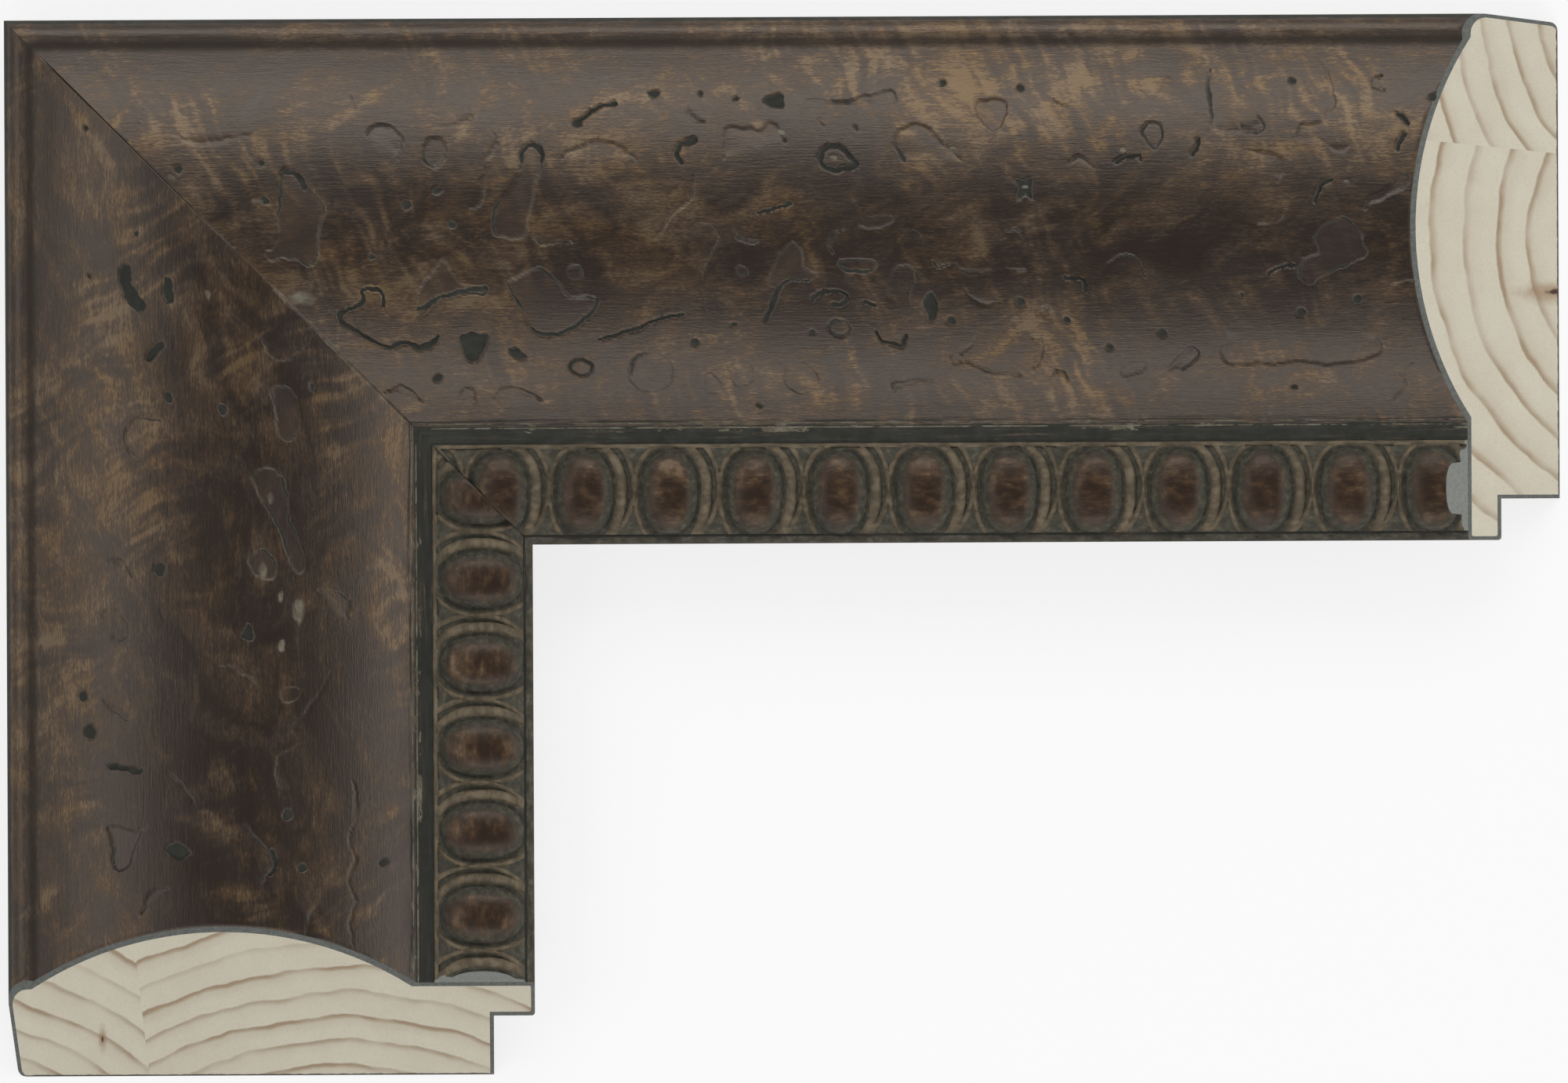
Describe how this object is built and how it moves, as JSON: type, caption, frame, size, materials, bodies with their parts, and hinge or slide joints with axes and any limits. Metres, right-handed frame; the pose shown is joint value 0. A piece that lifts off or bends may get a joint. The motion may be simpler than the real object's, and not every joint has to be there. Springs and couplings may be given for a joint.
{
  "type": "picture frame moulding corner sample",
  "caption": "Mitred corner of a wide wooden picture frame moulding with an arched brown face, an outer bead and an egg ornament by the sight edge, its ends sawn at a bevel.",
  "frame": {"origin": "centre of the bounding box on the back, the plane that the moulding lies on", "axes": "+X along the top rail, away from the mitred corner, +Y towards the top rail's outer side, so the side rail runs along -Y, and +Z out of the moulding's face"},
  "size_m": [0.2436, 0.1656, 0.0236],
  "materials": {
    "pine": "bare sawn pine",
    "finished_gesso": "satin dark brown and bronze finish over dark grey gesso",
    "finished_composition": "satin dark brown finish rubbed back on the high edges, over light grey composition"
  },
  "bodies": {
    "root": {"top_rail_outer_stave": "pine", "top_rail_inner_stave": "pine", "top_rail_gesso_coat": "finished_gesso", "top_rail_egg_strip": "finished_composition", "side_rail_outer_stave": "pine", "side_rail_inner_stave": "pine", "side_rail_gesso_coat": "finished_gesso", "side_rail_egg_strip": "finished_composition"}
  },
  "joints": []
}
